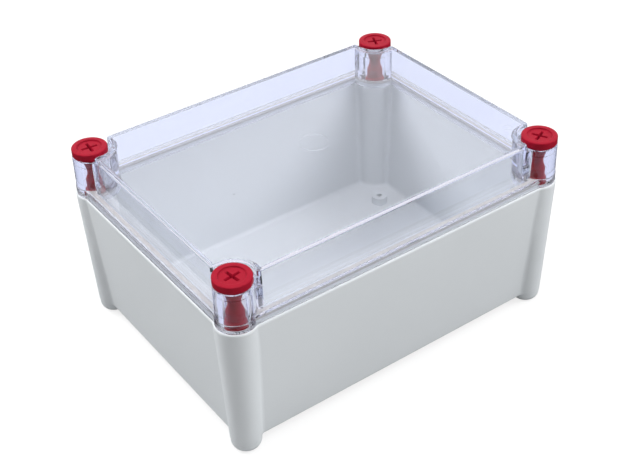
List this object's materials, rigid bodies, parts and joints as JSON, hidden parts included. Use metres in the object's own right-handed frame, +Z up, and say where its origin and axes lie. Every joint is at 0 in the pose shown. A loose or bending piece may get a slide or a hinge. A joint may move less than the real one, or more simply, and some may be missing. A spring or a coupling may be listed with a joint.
{
  "type": "electrical distribution box",
  "caption": "Rectangular wiring enclosure: grey moulded base with corner posts, clear raised lid with a seal, held by red captive corner screws with cross recesses.",
  "frame": {"origin": "middle of the underside, where the feet of the corner posts stand", "axes": "+X along the long side, +Y along the short side, +Z up out of the lid; the corner that is nearest in the picture is at -X -Y"},
  "size_m": [0.1893, 0.1422, 0.0959],
  "materials": {
    "base_plastic": "fine matte light grey",
    "clear_plastic": "clear, polished",
    "seal_rubber": "foamed, matt",
    "screw_plastic": "glossy red"
  },
  "bodies": {
    "base": {"base": "base_plastic"},
    "lid": {"lid": "clear_plastic", "lid_gasket": "seal_rubber"},
    "lid_screw_front": {"lid_screw_front": "screw_plastic"},
    "lid_screw_left": {"lid_screw_left": "screw_plastic"},
    "lid_screw_right": {"lid_screw_right": "screw_plastic"},
    "lid_screw_back": {"lid_screw_back": "screw_plastic"}
  },
  "joints": [
    {"name": "lid_lift", "type": "slide", "parent": "base", "child": "lid", "axis": [0, 0, 1], "range_m": [0, 0.06]},
    {"name": "front_screw_turn", "type": "hinge", "parent": "lid", "child": "lid_screw_front", "pos_m": [-0.085, -0.0615, 0.0918], "axis": [0, 0, 1], "range_deg": [0, 1440]},
    {"name": "left_screw_turn", "type": "hinge", "parent": "lid", "child": "lid_screw_left", "pos_m": [-0.085, 0.0615, 0.0918], "axis": [0, 0, 1], "range_deg": [0, 1440]},
    {"name": "right_screw_turn", "type": "hinge", "parent": "lid", "child": "lid_screw_right", "pos_m": [0.085, -0.0615, 0.0918], "axis": [0, 0, 1], "range_deg": [0, 1440]},
    {"name": "back_screw_turn", "type": "hinge", "parent": "lid", "child": "lid_screw_back", "pos_m": [0.085, 0.0615, 0.0918], "axis": [0, 0, 1], "range_deg": [0, 1440]}
  ]
}
